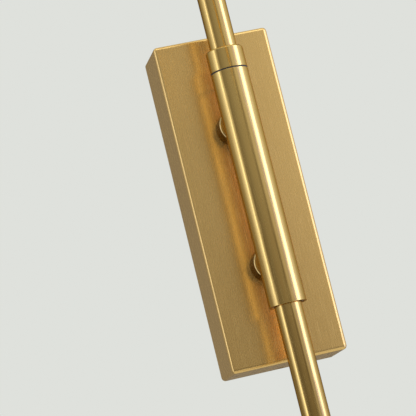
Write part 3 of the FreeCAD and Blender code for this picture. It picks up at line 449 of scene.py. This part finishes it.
# Painted shade: the bushes' nylon is dark brown and stands in for the shade in the gap by the pole.
shaded_bush_nylon = clouded("shaded_bush_nylon", ((0.050, 0.043, 0.030, 1), (0.100, 0.088, 0.064, 1)),
                        scale=300.0, rough=0.35, spread=0.2, grain=1500.0, depth=0.00002,
                        Coat_Weight=0.2)
paint(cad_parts["terminal_block"], nylon)
for node in ("upper_bush", "lower_bush"):
    paint(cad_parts[node], shaded_bush_nylon)
for node in ("thrust_washer", "elbow_friction_washers", "head_friction_washers"):
    paint(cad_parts[node], black_nylon)

# ------------------------------------------------------------------ pole, stop collar and end cap
# A long brass tube that swivels in the sleeve and hangs on a turned collar, which a grub screw
# holds from behind. A push-in plug with a domed face closes its lower end.

POLE_RADIUS = 8.0 * MM
POLE_WALL = 1.2 * MM
COLLAR_CHAMFER = 0.8 * MM
MACHINED_EDGE = 0.15 * MM
FACET_ANGLE = math.radians(0.4)

tube("pole", POLE_WALL, POLE_RADIUS, (0, 0, 1), "pole", "pole_tube", tube_brass)

collar_low, collar_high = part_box("stop_collar")
collar_length = collar_high.z - collar_low.z
collar = turned(
    [
        (POLE_RADIUS, 0),
        (SLEEVE_RADIUS, 0),
        (SLEEVE_RADIUS, collar_length - COLLAR_CHAMFER),
        (SLEEVE_RADIUS - COLLAR_CHAMFER, collar_length),
        (POLE_RADIUS, collar_length),
        (POLE_RADIUS, 0),
    ],
    (0, POLE_AXIS_Y, collar_low.z),
    (0, 0, 1),
)
soften(collar, TUBE_EDGE)
finish_piece(collar, "collar", "pole", "satin_brass", "stop_collar")
paint(collar, tube_brass)


def refine(node, name, body, slot, finish, edge=MACHINED_EDGE):
    """A copy of a CAD piece with its facets merged, sharp edges broken and curves smooth."""
    piece = bpy.data.objects.new(name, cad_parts[node].data.copy())
    bpy.context.scene.collection.objects.link(piece)
    take(piece)
    bpy.ops.object.mode_set(mode="EDIT")
    bpy.ops.mesh.select_all(action="SELECT")
    bpy.ops.mesh.remove_doubles(threshold=SAME_SPOT)
    bpy.ops.mesh.dissolve_limited(angle_limit=FACET_ANGLE)
    bpy.ops.mesh.normals_make_consistent(inside=False)
    bpy.ops.object.mode_set(mode="OBJECT")
    bpy.ops.mesh.customdata_custom_splitnormals_clear()
    if edge:
        soften(piece, edge, segments=2)
    finish_piece(piece, name, body, slot, node)
    paint(piece, finish)
    return piece


refine("pole_end_cap", "end_cap", "pole", "satin_brass", tube_brass)

# ------------------------------------------------------------------ elbow
# A slotted fork on top of the pole takes the arm's tongue. A round-headed bolt crosses them, and a
# fluted thumb nut on its end sets how stiffly the arm tilts.

refine("elbow_fork", "elbow_cheeks", "pole", "satin_brass", tube_brass)
refine("elbow_bolt", "elbow_pin", "pole", "satin_brass", tube_brass)
refine("elbow_thumb_nut", "elbow_knob", "elbow_nut", "satin_brass", tube_brass)
refine("elbow_tongue", "arm_root", "arm", "satin_brass", tube_brass)

# ------------------------------------------------------------------ arm
# A long tube in the tongue's ferrule, brushed along its length like the pole, with the head's fork
# plugged into its far end. The head hangs there from a second bolt and thumb nut.

ARM_RADIUS = 6.0 * MM
ARM_WALL = 1.0 * MM

arm_brass = brass("arm_brass", "Y", TUBE_TONES)
tube("arm_tube", ARM_WALL, ARM_RADIUS, (0, 1, 0), "arm", "arm_rod", arm_brass)
refine("arm_fork", "arm_cheeks", "arm", "satin_brass", arm_brass)
refine("head_bolt", "head_pin", "arm", "satin_brass", tube_brass)
refine("head_thumb_nut", "head_knob", "head_nut_body", "satin_brass", tube_brass)
refine("head_tongue", "head_root", "head", "satin_brass", tube_brass)

# ------------------------------------------------------------------ cup, holder and switch
# A drawn brass cup covers the lampholder and carries the small fluted knob of its rotary switch.
# The holder and the ring that clamps the shade are moulded in one pale material.

CUP_EDGE = 0.1 * MM

refine("socket_cup", "cup", "head", "satin_brass", tube_brass, edge=CUP_EDGE)
refine("switch_knob", "switch", "switch", "satin_brass", tube_brass)

moulding = clouded("moulded_holder", ((0.80, 0.79, 0.74, 1), (0.88, 0.87, 0.83, 1)),
                   scale=45.0, rough=0.28, spread=0.1, detail=3.0, grain=900.0, depth=0.00002,
                   Coat_Weight=0.4, Coat_Roughness=0.15)
for node in ("lampholder", "shade_ring"):
    paint(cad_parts[node], moulding)

# ------------------------------------------------------------------ bulb
# A small globe of opal glass, blown and flashed white, on a rolled nickel-plated screw cap. The
# glass glosses sharply and lets a little light into its skin.

NICKEL_TONES = ((0.62, 0.60, 0.56, 1), (0.76, 0.74, 0.70, 1))
NICKEL_GRAIN_SCALE = 700.0
NICKEL_STRETCH = (1.0, 1.0, 0.1)

nickel = Finish("nickel_cap", Metallic=1.0)
nickel_grain = nickel.noise(NICKEL_GRAIN_SCALE, NICKEL_STRETCH)
nickel.set(Base_Color=nickel_grain.blend(*NICKEL_TONES), Roughness=0.25 + nickel_grain * 0.12)
paint(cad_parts["lamp_cap"], nickel)

opal = clouded("opal_glass", ((0.86, 0.85, 0.81, 1), (0.91, 0.90, 0.87, 1)),
               scale=35.0, rough=0.16, spread=0.06, detail=2.0,
               Coat_Weight=0.6, Coat_Roughness=0.04, Subsurface_Weight=0.25)
refine("glass_globe", "bulb", "head", "opal_glass", opal, edge=0)

# ------------------------------------------------------------------ shade
# A cone spun from 0.8 mm brass with a folded hem, clamped under the cup. It is brass outside and
# stoved white enamel inside, from the hem up to its hole.

SHADE_TOP_ZONE = 9 * MM
INWARD = -0.3
DOWNWARD = -0.5

enamel = clouded("white_enamel", ((0.80, 0.79, 0.75, 1), (0.86, 0.85, 0.82, 1)),
                 scale=70.0, rough=0.34, spread=0.1, grain=500.0, depth=0.00003,
                 Coat_Weight=0.3, Coat_Roughness=0.2)
shade = refine("shade", "cone_shade", "head", "satin_brass", tube_brass, edge=0)
shade.data.materials.append(enamel.material)
shade_low, shade_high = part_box("shade")
shade_middle = (shade_low + shade_high) / 2
for face in shade.data.polygons:
    out = Vector((face.center.x - shade_middle.x, face.center.y - shade_middle.y, 0)).normalized()
    faces_inward = face.normal.dot(out) < INWARD
    under_the_top = face.normal.z < DOWNWARD and face.center.z > shade_high.z - SHADE_TOP_ZONE
    if faces_inward or under_the_top:
        face.material_index = 1

# ------------------------------------------------------------------ floor
# A wide floor well below the lamp, in pale matt paint with a slight cloudiness. It throws a soft
# light up at the undersides.

FLOOR_Z = -1.4
FLOOR_SIZE = 14
FLOOR_CLOUD_SCALE = 3.0
FLOOR_TONES = ((0.74, 0.75, 0.72, 1), (0.78, 0.79, 0.76, 1))

floor = begin(bpy.ops.mesh.primitive_plane_add, size=FLOOR_SIZE, location=(0, 0, FLOOR_Z))
take(floor)
floor.name = "floor"
floor_paint = Finish("floor_paint", Roughness=0.8)
floor_paint.set(Base_Color=floor_paint.noise(FLOOR_CLOUD_SCALE).blend(*FLOOR_TONES))
paint(floor, floor_paint)

# ------------------------------------------------------------------ screen
# As is done for bright metal, a round screen of cloth stands about the lamp. It is dim, with a tall
# bright strip on either side, the right one bluer, and it is seen in reflections alone.

SCREEN_RADIUS = 1.5
SCREEN_HEIGHT = 2.7
SCREEN_SIDES = 96
SCREEN_MIDDLE = (0, -0.05, 0)
HEIGHT_SPAN = 2.8
STRIP_LEVELS = (0.42, 0.90)
STRIP_TINT = (1.00, 1.08, 1.38, 1)
DAYLIGHT_STRIP = (35, 75)
DAYLIGHT_BLUE = 1.55
WALL_SIDE = (0.6, 1.3)
WALL_TINT = (0.77, 0.70, 0.62, 1)
ROUND_THE_LAMP = (
    (-180, 0.30), (-150, 0.31), (-133, 0.35), (-119, 0.38), (-107, 0.46), (-96, 0.72),
    (-86, 0.98), (-77, 0.98), (-67, 0.64), (-61, 0.34), (-56, 0.19), (-50, 0.27),
    (-42, 0.28), (-33, 0.33), (-22, 0.37), (-1, 0.41), (5, 0.31), (10, 0.24),
    (15, 0.50), (22, 0.66), (31, 0.60), (40, 0.66), (50, 0.90), (60, 1.12),
    (70, 1.02), (80, 0.86), (92, 0.72), (105, 0.64), (120, 0.62), (138, 0.56),
    (155, 0.30), (180, 0.30),
)
UP_THE_SCREEN = (
    (-1.40, (0.22, 0.19, 0.16)),
    (-0.30, (0.30, 0.27, 0.24)),
    (0.00, (0.60, 0.55, 0.50)),
    (0.13, (0.79, 0.74, 0.70)),
    (0.28, (1.00, 1.00, 1.00)),
    (0.50, (1.10, 1.10, 1.10)),
    (1.40, (0.95, 0.95, 0.95)),
)

screen = begin(
    bpy.ops.mesh.primitive_cylinder_add,
    vertices=SCREEN_SIDES,
    radius=SCREEN_RADIUS,
    depth=SCREEN_HEIGHT,
    end_fill_type="NOTHING",
    location=SCREEN_MIDDLE,
)
take(screen)
screen.name = "screen"
for ray in ("camera", "diffuse", "transmission", "shadow"):
    setattr(screen, "visible_" + ray, False)
cloth = Finish("screen_cloth", Base_Color=(0, 0, 0, 1), Specular_IOR_Level=0.0,
               Emission_Strength=1.0)
cloth.material.cycles.emission_sampling = "NONE"
across, depth, rise = cloth.place.split()

turn = across.math("ARCTAN2", across, 0.0 - depth) / (2 * math.pi) + 0.5
turn_stops = []
for degrees, light in ROUND_THE_LAMP:
    blue = DAYLIGHT_BLUE if DAYLIGHT_STRIP[0] < degrees < DAYLIGHT_STRIP[1] else 1.0
    turn_stops.append((degrees / 360 + 0.5, (light, light, light * blue)))
level = turn.node("ShaderNodeValToRGB", {"stops": turn_stops}, {"Fac": turn})

rise_stops = [(metres / HEIGHT_SPAN + 0.5, light) for metres, light in UP_THE_SCREEN]
rise_share = rise / HEIGHT_SPAN + 0.5
shade_of_cloth = rise.node("ShaderNodeValToRGB", {"stops": rise_stops}, {"Fac": rise_share})
front_tint = level.between(*STRIP_LEVELS).blend(shade_of_cloth, STRIP_TINT)
tint = depth.between(*WALL_SIDE).blend(front_tint, WALL_TINT)
multiply = {"data_type": "RGBA", "blend_type": "MULTIPLY"}
cloth.set(
    Emission_Color=level.node("ShaderNodeMix", multiply, {0: 1.0, 6: level, 7: tint}, output=2)
)
paint(screen, cloth)

# ------------------------------------------------------------------ surround
# The open studio: an even light on the lamp, and a pale grey-green wall where the camera, a
# mirror or clear glass looks past it.

SKY_LIGHT = (0.85, 0.85, 0.85, 1)
BACKDROP = (0.737, 0.752, 0.716, 1)

world = bpy.data.worlds.new("surround")
bpy.context.scene.world = world
world.use_nodes = True
world.cycles.sampling_method = "NONE"
sky = Wire(world.node_tree)
seen = sky.node("ShaderNodeLightPath", output="Is Camera Ray")
for ray in ("Is Glossy Ray", "Is Transmission Ray"):
    seen += sky.node("ShaderNodeLightPath", output=ray)
surround = sky.math("MINIMUM", seen, 1.0).blend(SKY_LIGHT, BACKDROP)
world.node_tree.links.new(surround.socket, world.node_tree.nodes["Background"].inputs["Color"])

# ------------------------------------------------------------------ studio lamps
# A tall soft box on either side, a wide one above, and a warm lit card close to the sleeve that
# draws the bright line down it. Each is turned to the point it lights.

DAYLIGHT = (0.93, 1.0, 1.15)
CARD_LIGHT = (1.0, 0.97, 0.85)
CARD_PLACE = (0.119, -0.139, 0.045)
CARD_AIM = (0.020, -0.035, 0.030)
LAMP_MIDDLE = (0, -0.06, 0)


def soft_box(name, place, aim, width, height, radiance, colour=DAYLIGHT):
    """A rectangular lamp turned to a point. At a radiance of 1 it looks just white."""
    lamp = bpy.data.lights.new(name, "AREA")
    lamp.shape = "RECTANGLE"
    lamp.size, lamp.size_y = width, height
    lamp.energy = radiance * math.pi * width * height
    lamp.color = colour
    box = bpy.data.objects.new(name, lamp)
    box.location = place
    box.rotation_euler = (Vector(place) - Vector(aim)).to_track_quat("Z", "Y").to_euler()
    box.visible_camera = False
    bpy.context.scene.collection.objects.link(box)


soft_box("right_box", (0.99, -0.50, 0.19), LAMP_MIDDLE, width=0.30, height=1.4, radiance=1.3)
soft_box("left_box", (-1.07, -0.25, -0.15), LAMP_MIDDLE, width=0.16, height=1.4, radiance=1.0)
soft_box("top_box", (0.10, -0.60, 1.18), LAMP_MIDDLE, width=0.9, height=0.6, radiance=1.1)
soft_box("near_card", CARD_PLACE, CARD_AIM, width=0.046, height=0.30, radiance=1.30,
         colour=CARD_LIGHT)

# ------------------------------------------------------------------ camera
# The photograph's view: from low down on the left, with a long lens that is held aslant, so that
# the upright lamp leans in the picture. Place, turn and lens fit the cover's and tubes' outlines.

CAMERA_PLACE = Vector((-0.2810, -1.1997, -0.1980))
LOOK_RIGHT = Vector((0.95663, -0.16951, -0.2369))
LOOK_DOWN = Vector((-0.20074, 0.20568, -0.95781))
LENS = 179.75
SENSOR_WIDTH = 36.0

camera = bpy.data.objects.new("camera", bpy.data.cameras.new("camera"))
camera.data.lens = LENS
camera.data.sensor_width = SENSOR_WIDTH
camera.data.clip_start = 0.01
right = LOOK_RIGHT.normalized()
up = -(LOOK_DOWN - right * LOOK_DOWN.dot(right)).normalized()
axes = Matrix((right, up, right.cross(up))).transposed().to_4x4()
camera.matrix_world = Matrix.Translation(CAMERA_PLACE) @ axes
bpy.context.scene.collection.objects.link(camera)
bpy.context.scene.camera = camera
bpy.context.scene.view_settings.view_transform = "Standard"
